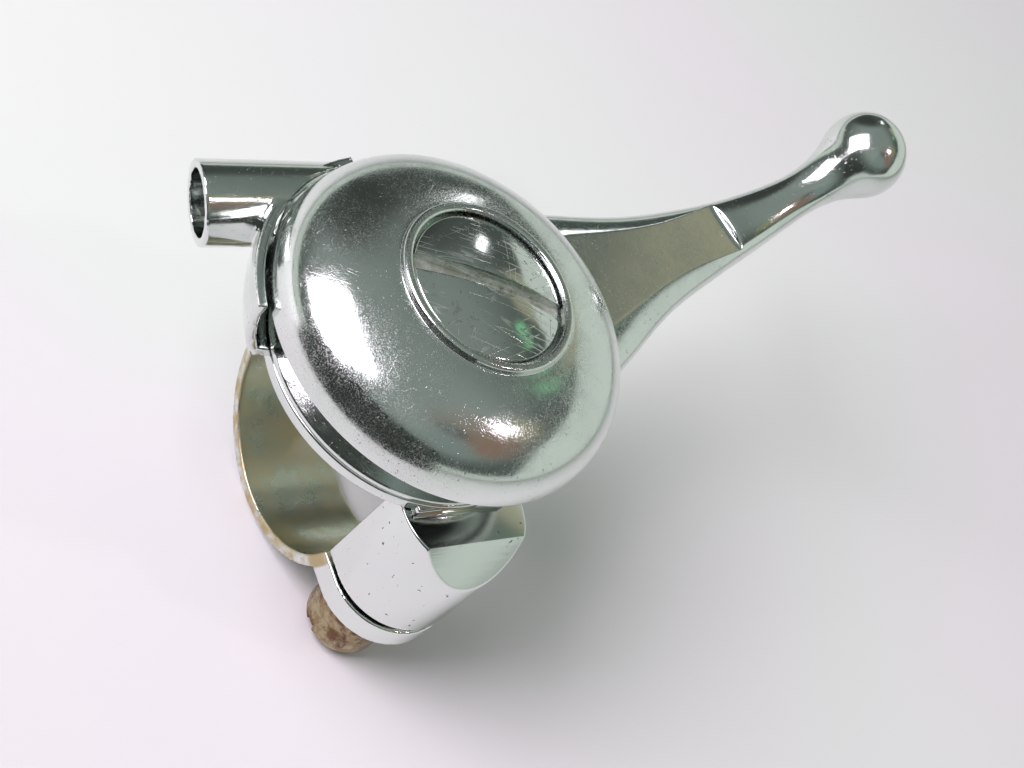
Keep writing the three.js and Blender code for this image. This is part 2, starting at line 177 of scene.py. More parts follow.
# ---- Meshes ----
def corner_points(bm, corners, closed, place):
    """A wire through corners of (a, b, rounding); place turns a and b into a point in millimetres."""
    verts = [bm.verts.new(Vector(place(a, b)) * MM) for a, b, _ in corners]
    following = verts[1:] + verts[:1] if closed else verts[1:]
    for start, end in zip(verts, following):
        bm.edges.new((start, end))
    for vert, (_, _, rounding) in zip(verts, corners):
        if rounding:
            bmesh.ops.bevel(
                bm,
                geom=[vert],
                offset=rounding * MM,
                offset_type="OFFSET",
                segments=5,
                profile=0.5,
                affect="VERTICES",
                material=-1,
                clamp_overlap=True,
            )


def flat_place(radius, z):
    """A point of a profile that is drawn beside the Z axis."""
    return (radius, 0, z)


def full_spin(bm, axis, steps):
    bmesh.ops.spin(
        bm,
        geom=bm.verts[:] + bm.edges[:],
        cent=(0, 0, 0),
        axis=axis,
        angle=FULL_TURN,
        steps=steps,
        use_merge=True,
        use_duplicate=False,
    )
    bmesh.ops.remove_doubles(bm, verts=bm.verts[:], dist=1e-7)
    bmesh.ops.recalc_face_normals(bm, faces=bm.faces[:])


def turned_z(corners, closed=True, steps=160, x=0.0, y=0.0):
    """A closed body turned about Z from corners of (radius, height, rounding)."""
    bm = bmesh.new()
    corner_points(bm, corners, closed, flat_place)
    full_spin(bm, (0, 0, 1), steps)
    bmesh.ops.translate(bm, vec=Vector((x, y, 0)) * MM, verts=bm.verts[:])
    return bm


def turned_x(corners, y, z, closed=True, steps=96):
    """A closed body turned about a line along X from corners of (place, radius, rounding)."""
    bm = bmesh.new()
    corner_points(bm, corners, closed, lambda place, radius: (place, 0, radius))
    full_spin(bm, (1, 0, 0), steps)
    bmesh.ops.translate(bm, vec=Vector((0, y, z)) * MM, verts=bm.verts[:])
    return bm


def rod(left, right, radius, y, z, steps=96):
    """A plain cylinder along X."""
    return turned_x([(left, 0, 0), (left, radius, 0), (right, radius, 0), (right, 0, 0)], y, z, False, steps)


def peg(radius, bottom, top, x, y, steps=64):
    """A plain upright cylinder."""
    return turned_z([(0, bottom, 0), (radius, bottom, 0), (radius, top, 0), (0, top, 0)], False, steps, x, y)


def spun_sector(corners, axis, start, end, steps, place):
    """A closed profile swept about an axis through part of a turn, with both ends capped."""
    bm = bmesh.new()
    corner_points(bm, corners, True, place)
    turn = Matrix.Rotation(start, 3, Vector(axis))
    bmesh.ops.rotate(bm, cent=(0, 0, 0), matrix=turn, verts=bm.verts[:])
    first = bmesh.ops.contextual_create(bm, geom=bm.edges[:])["faces"]
    bmesh.ops.spin(
        bm,
        geom=first,
        cent=(0, 0, 0),
        axis=axis,
        angle=end - start,
        steps=steps,
        use_merge=False,
        use_duplicate=False,
    )
    bmesh.ops.recalc_face_normals(bm, faces=bm.faces[:])
    return bm


def block(low, high, rounding, segments=3):
    """A box between two corners with all its edges rounded."""
    bm = bmesh.new()
    bmesh.ops.create_cube(bm, size=1.0)
    low, high = Vector(low) * MM, Vector(high) * MM
    bmesh.ops.scale(bm, vec=high - low, verts=bm.verts[:])
    bmesh.ops.translate(bm, vec=(low + high) / 2, verts=bm.verts[:])
    if rounding:
        soften(bm, bm.edges[:], rounding, segments)
    return bm


def soften(bm, edges, width, segments=3):
    bmesh.ops.bevel(
        bm,
        geom=edges,
        offset=width * MM,
        offset_type="OFFSET",
        segments=segments,
        profile=0.5,
        affect="EDGES",
        material=-1,
        clamp_overlap=True,
    )


def tongue(inner, bottom, top):
    """The plan shared by the lug and the flange, out to its round end, raised into a block."""
    bm = bmesh.new()
    left, right = LUG_X - LUG_HALF, LUG_X + LUG_HALF
    plan = ((left, inner, 0), (left, LUG_TIP, LUG_HALF), (right, LUG_TIP, LUG_HALF), (right, inner, 0))
    verts = [bm.verts.new(Vector((x, y, bottom)) * MM) for x, y, _ in plan]
    bm.faces.new(verts)
    for vert, (_, _, rounding) in zip(verts, plan):
        if rounding:
            bmesh.ops.bevel(
                bm,
                geom=[vert],
                offset=rounding * 0.999 * MM,
                offset_type="OFFSET",
                segments=24,
                profile=0.5,
                affect="VERTICES",
                material=-1,
            )
    raised = bmesh.ops.extrude_face_region(bm, geom=bm.faces[:])["geom"]
    risen = [v for v in raised if isinstance(v, bmesh.types.BMVert)]
    bmesh.ops.translate(bm, vec=Vector((0, 0, top - bottom)) * MM, verts=risen)
    bmesh.ops.recalc_face_normals(bm, faces=bm.faces[:])
    return bm


def cut_plane(bm, point, normal):
    """Takes away what lies on the normal's side of a plane and closes the cut."""
    geom = bm.verts[:] + bm.edges[:] + bm.faces[:]
    cut = bmesh.ops.bisect_plane(
        bm, geom=geom, dist=1e-8, plane_co=Vector(point) * MM, plane_no=Vector(normal), clear_outer=True
    )["geom_cut"]
    edges = [e for e in cut if isinstance(e, bmesh.types.BMEdge)]
    return bmesh.ops.contextual_create(bm, geom=edges)["faces"]


def merge(bm, *others):
    """Adds other closed bodies to bm and frees them."""
    for other in others:
        held = bpy.data.meshes.new("held")
        other.to_mesh(held)
        bm.from_mesh(held)
        bpy.data.meshes.remove(held)
        other.free()
    return bm


def plain_object(name, bm):
    mesh = bpy.data.meshes.new(name)
    bm.to_mesh(mesh)
    bm.free()
    made = bpy.data.objects.new(name, mesh)
    bpy.context.scene.collection.objects.link(made)
    return made


def carved(bm, joined, removed):
    """bm united with some closed bodies and cut by others, as a new bmesh."""
    main = plain_object("main_shape", bm)
    helpers = []
    for operation, bodies in (("UNION", joined), ("DIFFERENCE", removed)):
        for body in bodies:
            helper = plain_object("helper", body)
            helpers.append(helper)
            step = main.modifiers.new("step", "BOOLEAN")
            step.operation = operation
            step.solver = "EXACT"
            step.object = helper
    made = bmesh.new()
    made.from_mesh(settled(main))
    for spare in (main, *helpers):
        bpy.data.objects.remove(spare)
    return made


def settled(thing):
    """The mesh of an object with its modifiers worked in."""
    bpy.context.view_layer.update()
    graph = bpy.context.evaluated_depsgraph_get()
    return bpy.data.meshes.new_from_object(thing.evaluated_get(graph))


def cast_skin(bm, grain, passes):
    """One skin over joined bodies, with its inner corners filled and its outer corners rounded."""
    shape = plain_object("cast_shape", bm)
    remesh = shape.modifiers.new("skin", "REMESH")
    remesh.mode = "VOXEL"
    remesh.voxel_size = grain * MM
    made = bmesh.new()
    made.from_mesh(settled(shape))
    bpy.data.objects.remove(shape)
    for _ in range(passes):
        bmesh.ops.smooth_vert(
            made, verts=made.verts[:], factor=0.5, use_axis_x=True, use_axis_y=True, use_axis_z=True
        )
    return made


def finished(bm, name, look, body, nodes=(), sharp=34.0):
    """Turns a bmesh into a shown piece that rides on a body."""
    mesh = bpy.data.meshes.new(name)
    bmesh.ops.remove_doubles(bm, verts=bm.verts[:], dist=1e-8)
    bm.to_mesh(mesh)
    bm.free()
    mesh.shade_smooth()
    mesh.set_sharp_from_angle(angle=math.radians(sharp))
    mesh.materials.append(look)
    made = bpy.data.objects.new(name, mesh)
    bpy.context.scene.collection.objects.link(made)
    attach(made, body)
    if nodes:
        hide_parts(*nodes)
    return made


# ---- Materials ----
def rgba(colour, share=1.0):
    """An opaque colour, darkened where share is below 1."""
    return (*[c * share for c in colour], 1)


def heading(around, raised):
    """The direction with a compass angle from +X and a height angle above the floor, both in degrees."""
    a, e = math.radians(around), math.radians(raised)
    return Vector((math.cos(a) * math.cos(e), math.sin(a) * math.cos(e), math.sin(e)))


class Nodes:
    """Adds nodes to a tree one call at a time."""

    def __init__(self, tree):
        self.tree = tree

    def add(self, kind, values=(), **settings):
        """A node with settings, whose inputs take numbers, colours or other sockets."""
        node = self.tree.nodes.new(kind)
        for key, value in settings.items():
            setattr(node, key, value)
        for key, value in dict(values).items():
            if isinstance(value, bpy.types.NodeSocket):
                self.tree.links.new(value, node.inputs[key])
            else:
                node.inputs[key].default_value = value
        return node

    def math(self, operation, first, second=0.0, third=0.0, clamp=False):
        values = {0: first, 1: second, 2: third}
        return self.add("ShaderNodeMath", values, operation=operation, use_clamp=clamp).outputs[0]

    def ramp(self, value, low, high, to_low=0.0, to_high=1.0, smooth=True):
        kind = "SMOOTHSTEP" if smooth else "LINEAR"
        values = {"Value": value, "From Min": low, "From Max": high, "To Min": to_low, "To Max": to_high}
        return self.add("ShaderNodeMapRange", values, interpolation_type=kind).outputs["Result"]

    def mix(self, share, first, second):
        values = {0: share, 6: first, 7: second}
        return self.add("ShaderNodeMix", values, data_type="RGBA").outputs[2]


class Look(Nodes):
    """A Principled material made of nodes on Object coordinates."""

    def __init__(self, name, colour, roughness, metallic):
        self.material = bpy.data.materials.new(name)
        self.material.use_nodes = True
        super().__init__(self.material.node_tree)
        self.shader = self.tree.nodes["Principled BSDF"]
        self.shader.inputs["Base Color"].default_value = (*colour, 1)
        self.shader.inputs["Roughness"].default_value = roughness
        self.shader.inputs["Metallic"].default_value = metallic
        self.place = self.add("ShaderNodeTexCoord").outputs["Object"]

    def noise(self, per_mm, detail=2.0, roughness=0.5, place=None):
        values = {
            "Vector": place or self.place,
            "Scale": per_mm / MM,
            "Detail": detail,
            "Roughness": roughness,
        }
        return self.add("ShaderNodeTexNoise", values).outputs["Fac"]

    def placed(self, scale=(1, 1, 1), turn=0.0, move=(0, 0, 0), tilt=0.0):
        """Object coordinates turned and then scaled."""
        turned = self.add(
            "ShaderNodeMapping", {"Vector": self.place, "Rotation": (tilt, 0, turn), "Location": move}
        ).outputs[0]
        return self.add("ShaderNodeMapping", {"Vector": turned, "Scale": scale}).outputs[0]

    def set(self, socket, value):
        self.tree.links.new(value, self.shader.inputs[socket])

    def bump(self, height, strength, depth, after=None):
        values = {"Height": height, "Strength": strength, "Distance": depth * MM}
        if after:
            values["Normal"] = after
        return self.add("ShaderNodeBump", values).outputs[0]


def scratch_lines(look, turns, per_mm, stretch, width, seed, flat=True, share=0.5):
    """Thin broken lines in several directions, 1 on a line and 0 off it."""
    total = None
    for i, turn in enumerate(turns):
        height = 0.35 if flat else 1.0
        place = look.placed((1.0, stretch, height), turn, (seed * 0.013 + i * 0.007, i * 0.011, seed * 0.005))
        field = look.noise(per_mm, 1.0, 0.4, place)
        line = look.ramp(look.math("ABSOLUTE", look.math("SUBTRACT", field, 0.5)), 0.0, width, 1.0, 0.0)
        patch = look.noise(0.33, 1.0, 0.5, look.placed((1, 1, 1), turn, (0.03 * (i + 1), 0.02 * seed, 0)))
        kept = look.math("MULTIPLY", line, look.ramp(patch, share, share + 0.1))
        total = kept if total is None else look.math("MAXIMUM", total, kept)
    return total


def chrome_look(name, finish, wear=1.0, pits=1.0, flat=True, seed=1):
    """Bright plate: a dense haze of fine scratches, a few long ones, pin pits and faint waviness."""
    look = Look(name, finish.chrome, finish.gloss, 1.0)
    fine_turns = [math.radians(a + 17 * seed) for a in (0, 33, 61, 96, 128, 158)]
    fine = scratch_lines(look, fine_turns, 5.0, 0.10, 0.035, seed, flat, 0.40)
    long_turns = [math.radians(a + 29 * seed) for a in (12, 55, 103, 141)]
    long = scratch_lines(look, long_turns, 0.8, 0.025, 0.005, seed + 4, flat, 0.54)
    specks = look.ramp(look.noise(9.0, 2.0, 0.6), 0.50, 0.62)
    pit_field = look.noise(3.4, 2.0, 0.6)
    patchy = look.ramp(look.noise(0.16, 2.0, 0.5), 0.36, 0.62)
    pit = look.math("MULTIPLY", look.ramp(pit_field, 0.67, 0.71), patchy)
    haze = look.ramp(look.noise(0.12, 4.0, 0.62), 0.36, 0.66)
    rough = look.math("MULTIPLY_ADD", fine, 0.16 * wear, finish.gloss)
    rough = look.math("MULTIPLY_ADD", look.math("MULTIPLY_ADD", haze, 0.7, 0.3), 0.03 * wear, rough)
    rough = look.math("MULTIPLY_ADD", look.math("MULTIPLY", specks, haze), 0.22 * wear, rough)
    rough = look.math("MULTIPLY_ADD", pit, 0.4 * pits, rough)
    look.set("Roughness", rough)
    dull = look.math("MULTIPLY", pit, 0.7 * pits)
    tone = look.mix(haze, rgba(finish.chrome), rgba(finish.chrome, 0.92))
    look.set("Base Color", look.mix(dull, tone, rgba(finish.tarnish)))
    micro = look.bump(look.noise(6.0, 2.0, 0.6), 0.12 * pits, 0.014)
    waves = look.bump(look.noise(0.2, 1.0, 0.4), 0.25, 0.05, micro)
    dents = look.bump(pit, 0.5 * pits, -0.03, waves)
    marks = look.bump(fine, 0.25 * wear, -0.004, dents)
    look.set("Normal", look.bump(long, 0.35 * wear, -0.008, marks))
    return look.material


# ---- Settings ----
class ShifterSizes(bpy.types.PropertyGroup):
    """Sizes of the moving pieces, in metres."""

    cap_radius: bpy.props.FloatProperty(
        name="Cap radius",
        description="Radius of the domed cap's skirt",
        default=16.95 * MM,
        unit="LENGTH",
    )
    cap_fullness: bpy.props.FloatProperty(
        name="Cap fullness",
        description="Below 1, the dome is fuller than an ellipse",
        default=0.88,
        min=0.5,
        max=1.5,
    )
    screw_radius: bpy.props.FloatProperty(
        name="Pivot screw radius",
        description="Radius of the slotted head",
        default=7.22 * MM,
        unit="LENGTH",
    )
    slot_width: bpy.props.FloatProperty(
        name="Slot width",
        description="Width of the pivot screw's slot",
        default=1.6 * MM,
        unit="LENGTH",
    )
    slot_turn: bpy.props.FloatProperty(
        name="Slot direction",
        description="Direction of the slot at rest",
        default=math.radians(-22.7),
        subtype="ANGLE",
    )


class ShifterFinish(bpy.types.PropertyGroup):
    """Colours and gloss of the finishes."""

    chrome: bpy.props.FloatVectorProperty(
        name="Chrome",
        description="Colour of the bright plate",
        default=(0.76, 0.80, 0.77),
        subtype="COLOR",
    )
    tarnish: bpy.props.FloatVectorProperty(
        name="Tarnish",
        description="Colour in the pits of the plate",
        default=(0.16, 0.15, 0.11),
        subtype="COLOR",
    )
    brass: bpy.props.FloatVectorProperty(
        name="Brass",
        description="Colour of the strap where its plate has worn away",
        default=(0.50, 0.42, 0.24),
        subtype="COLOR",
    )
    rust: bpy.props.FloatVectorProperty(
        name="Rust",
        description="Colour of the clamp screw's rust",
        default=(0.16, 0.075, 0.03),
        subtype="COLOR",
    )
    gloss: bpy.props.FloatProperty(
        name="Chrome roughness",
        description="Roughness of clean plate",
        default=0.045,
        min=0.0,
        max=1.0,
    )


class ShifterStage(bpy.types.PropertyGroup):
    """The floor and the lights."""

    floor: bpy.props.FloatVectorProperty(
        name="Floor", description="Colour of the floor", default=(0.82, 0.88, 0.82), subtype="COLOR"
    )
    floor_height: bpy.props.FloatProperty(
        name="Floor height",
        description="Height of the floor from the bar's axis, downwards below zero",
        default=-12.45 * MM,
        unit="LENGTH",
    )
    light: bpy.props.FloatProperty(name="Light", description="Share of full light", default=1.12, min=0.0)


# ---- Operators ----
class SHIFTER_OT_cap(bpy.types.Operator):
    """Domed cap with its skirt and the raised lip round the screw"""

    bl_idname = "shifter.cap"
    bl_label = "Domed cap"

    def execute(self, context):
        sizes = context.scene.shifter_sizes
        radius, fullness = sizes.cap_radius / MM, sizes.cap_fullness
        reach = radius - DOME_CENTRE
        last = math.acos(((LIP_OUTER - DOME_CENTRE) / reach) ** (1 / fullness))
        height = (LIP_BASE - SKIRT_TOP) / math.sin(last) ** fullness
        outside, inside = [], []
        for i in range(DOME_STEPS):
            turn = last * i / DOME_STEPS
            out, up = math.cos(turn) ** fullness, math.sin(turn) ** fullness
            outside.append((DOME_CENTRE + reach * out, SKIRT_TOP + height * up, 0))
            inside.append((DOME_CENTRE + (reach - CAP_WALL) * out, SKIRT_TOP + (height - CAP_WALL) * up, 0))
        corners = [
            (radius - CAP_WALL, SKIRT_BOTTOM, 0.12),
            (radius, SKIRT_BOTTOM, 0.2),
            *outside,
            (LIP_OUTER, LIP_BASE, 0.1),
            (LIP_OUTER - 0.06, LIP_TOP, 0.3),
            (LIP_INNER, LIP_TOP, 0.3),
            (LIP_INNER, CAP_FLOOR, 0),
            (CAP_BORE, CAP_FLOOR, 0),
            (CAP_BORE, CAP_FLOOR - CAP_WALL, 0),
            (LIP_INNER, CAP_FLOOR - CAP_WALL, 0),
            *reversed(inside),
        ]
        look = chrome_look("chrome_cap", context.scene.shifter_finish, 1.0, 1.0, True, 1)
        finished(turned_z(corners, steps=240), "cap", look, "cap", ["dome_cap"])
        return {"FINISHED"}


class SHIFTER_OT_pivot_screw(bpy.types.Operator):
    """Slotted screw that holds the cap down"""

    bl_idname = "shifter.pivot_screw"
    bl_label = "Pivot screw"

    def execute(self, context):
        sizes = context.scene.shifter_sizes
        radius, half_slot = sizes.screw_radius / MM, sizes.slot_width / MM / 2
        crown = []
        for i in range(1, CROWN_STEPS + 1):
            share = 1 - i / CROWN_STEPS
            crown.append(((radius - 0.2) * share, HEAD_CROWN - CROWN_RISE * share**2, 0))
        corners = [
            (0, PIVOT_TIP, 0),
            (PIVOT_SHANK, PIVOT_TIP, 0.5),
            (PIVOT_SHANK, HEAD_BOTTOM, 0),
            (radius, HEAD_BOTTOM, 0),
            (radius, HEAD_EDGE, 0.22),
            *crown,
        ]
        blank = turned_z(corners, closed=False, steps=160)
        slot = block((-9, -half_slot, SLOT_FLOOR), (9, half_slot, 28), 0)
        turn = Matrix.Rotation(sizes.slot_turn, 3, "Z")
        bmesh.ops.rotate(slot, cent=(0, 0, 0), matrix=turn, verts=slot.verts[:])
        bm = carved(blank, [], [slot])
        rim = [e for e in bm.edges if self.slot_rim(e, turn, half_slot)]
        soften(bm, rim, 0.14, 2)
        unturned = turn.transposed()
        for face in bm.faces:
            middle = unturned @ face.calc_center_median() / MM
            if abs(middle.y) < half_slot + 0.01 and SLOT_FLOOR - 0.05 < middle.z < SLOT_FLOOR + 0.45:
                face.material_index = 1
        head = finished(bm, "pivot_screw_head", self.look(context), "pivot_screw", ["pivot_screw"])
        head.data.materials.append(self.slot_look())
        return {"FINISHED"}

    @staticmethod
    def slot_look():
        """Dull plate with grime, which a driver has worn brighter in places."""
        look = Look("dull_slot", (0.40, 0.44, 0.40), 0.42, 0.6)
        worn = look.ramp(look.noise(0.8, 4.0, 0.6), 0.38, 0.62)
        look.set("Base Color", look.mix(worn, (0.34, 0.37, 0.30, 1), (0.62, 0.68, 0.60, 1)))
        look.set("Roughness", look.ramp(worn, 0.0, 1.0, 0.5, 0.3))
        look.set("Normal", look.bump(look.noise(3.0, 3.0, 0.6), 0.4, 0.03))
        return look.material

    @staticmethod
    def slot_rim(edge, turn, half_slot):
        """Whether an edge runs along the top of a slot's wall."""
        unturned = turn.transposed()
        ends = [unturned @ v.co / MM for v in edge.verts]
        on_rim = all(abs(abs(p.y) - half_slot) < 0.01 and p.z > SLOT_FLOOR + 0.25 for p in ends)
        return on_rim and len(edge.link_faces) == 2

    @staticmethod
    def look(context):
        finish = context.scene.shifter_finish
        look = Look("chrome_screw_head", finish.chrome, 0.1, 1.0)
        turns = [math.radians(a) for a in (-66, -50, 20, 75, 118)]
        lines = scratch_lines(look, turns, 0.8, 0.03, 0.014, 7)
        grain = look.noise(2.2, 2.0, 0.6, look.placed((0.05, 1, 0.3), math.radians(34)))
        spots = look.ramp(look.noise(1.9, 3.0, 0.6), 0.6, 0.68)
        rough = look.math("MULTIPLY_ADD", lines, 0.25, 0.10)
        rough = look.math("MULTIPLY_ADD", spots, 0.3, rough)
        look.set("Roughness", rough)
        worn = look.math("MULTIPLY", spots, 0.6)
        look.set("Base Color", look.mix(worn, rgba(finish.chrome, 0.92), rgba(finish.tarnish)))
        fine = look.bump(grain, 0.25, 0.012)
        waves = look.bump(look.noise(0.3, 1.0, 0.4), 0.25, 0.08, fine)
        look.set("Normal", look.bump(lines, 0.5, -0.015, waves))
        return look.material


class SHIFTER_OT_lever(bpy.types.Operator):
    """Drum, arm and ball of the thumb lever"""

    bl_idname = "shifter.lever"
    bl_label = "Lever"

    def execute(self, context):
        finish = context.scene.shifter_finish
        look = chrome_look("chrome_lever", finish, 0.6, 1.0, False, 3)
        finished(self.drum(), "lever_drum", look, "lever", ["lever"])
        arm = finished(self.arm(), "lever_arm", look, "lever", sharp=180.0)
        smooth = arm.modifiers.new("smooth", "SUBSURF")
        smooth.levels = smooth.render_levels = 2
        return {"FINISHED"}

    @staticmethod
    def drum():
        corners = [
            (HUB_RADIUS, RECESS_TOP, 0),
            (DRUM_RECESS, RECESS_TOP, 0),
            (DRUM_RECESS, DRUM_BOTTOM, 0.1),
            (DRUM_RADIUS, DRUM_BOTTOM, 0.12),
            (DRUM_RADIUS, DRUM_BOTTOM + 0.45, 0.15),
            (DRUM_WAIST, DRUM_BOTTOM + 1.85, 0.3),
            (DRUM_WAIST, DRUM_TOP, 0.1),
            (HUB_RADIUS, DRUM_TOP, 0.1),
        ]
        full = [
            (10.0, RECESS_TOP + 0.05, 0),
            (10.0, DRUM_BOTTOM, 0),
            (DRUM_RADIUS, DRUM_BOTTOM, 0.12),
            (DRUM_RADIUS, DRUM_TOP, 0.3),
            (10.0, DRUM_TOP, 0),
        ]
        groove = [(12.8, 15.2, 0), (15.2, 13.9, 0), (15.2, 16.5, 0)]
        sector = spun_sector(full, (0, 0, 1), *map(math.radians, CABLE_SIDE), 60, flat_place)
        cutter = spun_sector(groove, (0, 0, 1), *map(math.radians, CABLE_GROOVE), 48, flat_place)
        return carved(turned_z(corners, steps=200), [sector], [cutter])

    @staticmethod
    def section(bm, centre, along, across, half_width, half_height, full, flat):
        """One ring of the arm, square to its middle line, fuller than an ellipse where full is below 1."""
        up = along.cross(across).normalized()
        if up.z < 0:
            up = -up
        corner = 45.0
        if flat:
            rise = (FLAT_TOP - centre.z) / half_height
            corner = math.degrees(math.asin(min(1, max(0, rise)) ** (1 / full)))
        low = [corner * share for share in (0, 0.3, 0.6, 0.85, 0.96)]
        high = [corner + (90 - corner) * share for share in (0.0, 0.06, 0.3, 0.65)]
        quarter = low + high
        turns = quarter + [90] + [180 - a for a in reversed(quarter[1:])]
        turns += [180 + a for a in turns]
        ring = bmesh.ops.create_circle(bm, cap_ends=False, segments=len(turns), radius=1.0)["verts"]
        for vert, turn in zip(ring, turns):
            c, s = math.cos(math.radians(turn)), math.sin(math.radians(turn))
            wide = math.copysign(abs(c) ** full, c) * half_width
            tall = math.copysign(abs(s) ** full, s) * half_height
            place = centre + across * wide + up * tall
            if flat:
                place.z = min(place.z, FLAT_TOP)
            vert.co = place * MM
        return ring

    def arm(self):
        bm = bmesh.new()
        outwards = Vector((math.cos(math.radians(ARM_ANGLE)), math.sin(math.radians(ARM_ANGLE)), 0))
        across = Vector((-outwards.y, outwards.x, 0))
        rings = []
        for i, (reach, height, half_width, half_height, flat) in enumerate(ARM_STATIONS):
            before, after = ARM_STATIONS[max(0, i - 1)], ARM_STATIONS[min(len(ARM_STATIONS) - 1, i + 1)]
            slope = math.atan2(after[1] - before[1], after[0] - before[0])
            along = outwards * math.cos(slope) + Vector((0, 0, math.sin(slope)))
            centre = outwards * reach + Vector((0, 0, height))
            full = 0.82 if reach < 44 else 0.82 + 0.18 * min(1, (reach - 44) / 6)
            rings.append(self.section(bm, centre, along, across, half_width, half_height, full, flat))
        tilt = math.radians(BALL_TILT)
        neck = outwards * math.cos(tilt) + Vector((0, 0, math.sin(tilt)))
        middle = outwards * BALL_REACH + Vector((0, 0, BALL_Z))
        for turn in BALL_STATIONS:
            radius = BALL_RADIUS * math.sin(math.radians(turn)) * 1.004
            centre = middle + neck * BALL_RADIUS * 1.004 * math.cos(math.radians(turn))
            rings.append(self.section(bm, centre, neck, across, radius, radius, 1.0, 0))
        for first, second in zip(rings, rings[1:]):
            edges = {e for v in first + second for e in v.link_edges if len(e.link_faces) < 2}
            edges = [e for e in edges if any(all(v in ring for v in e.verts) for ring in (first, second))]
            bmesh.ops.bridge_loops(bm, edges=edges)
        open_edges = [e for e in bm.edges if len(e.link_faces) == 1]
        near = [e for e in open_edges if e.verts[0] in rings[0]]
        bmesh.ops.contextual_create(bm, geom=near)
        far = [e for e in open_edges if e.verts[0] in rings[-1]]
        tip = bmesh.ops.contextual_create(bm, geom=far)["faces"]
        bmesh.ops.poke(bm, faces=tip)
        bmesh.ops.recalc_face_normals(bm, faces=bm.faces[:])
        return bm


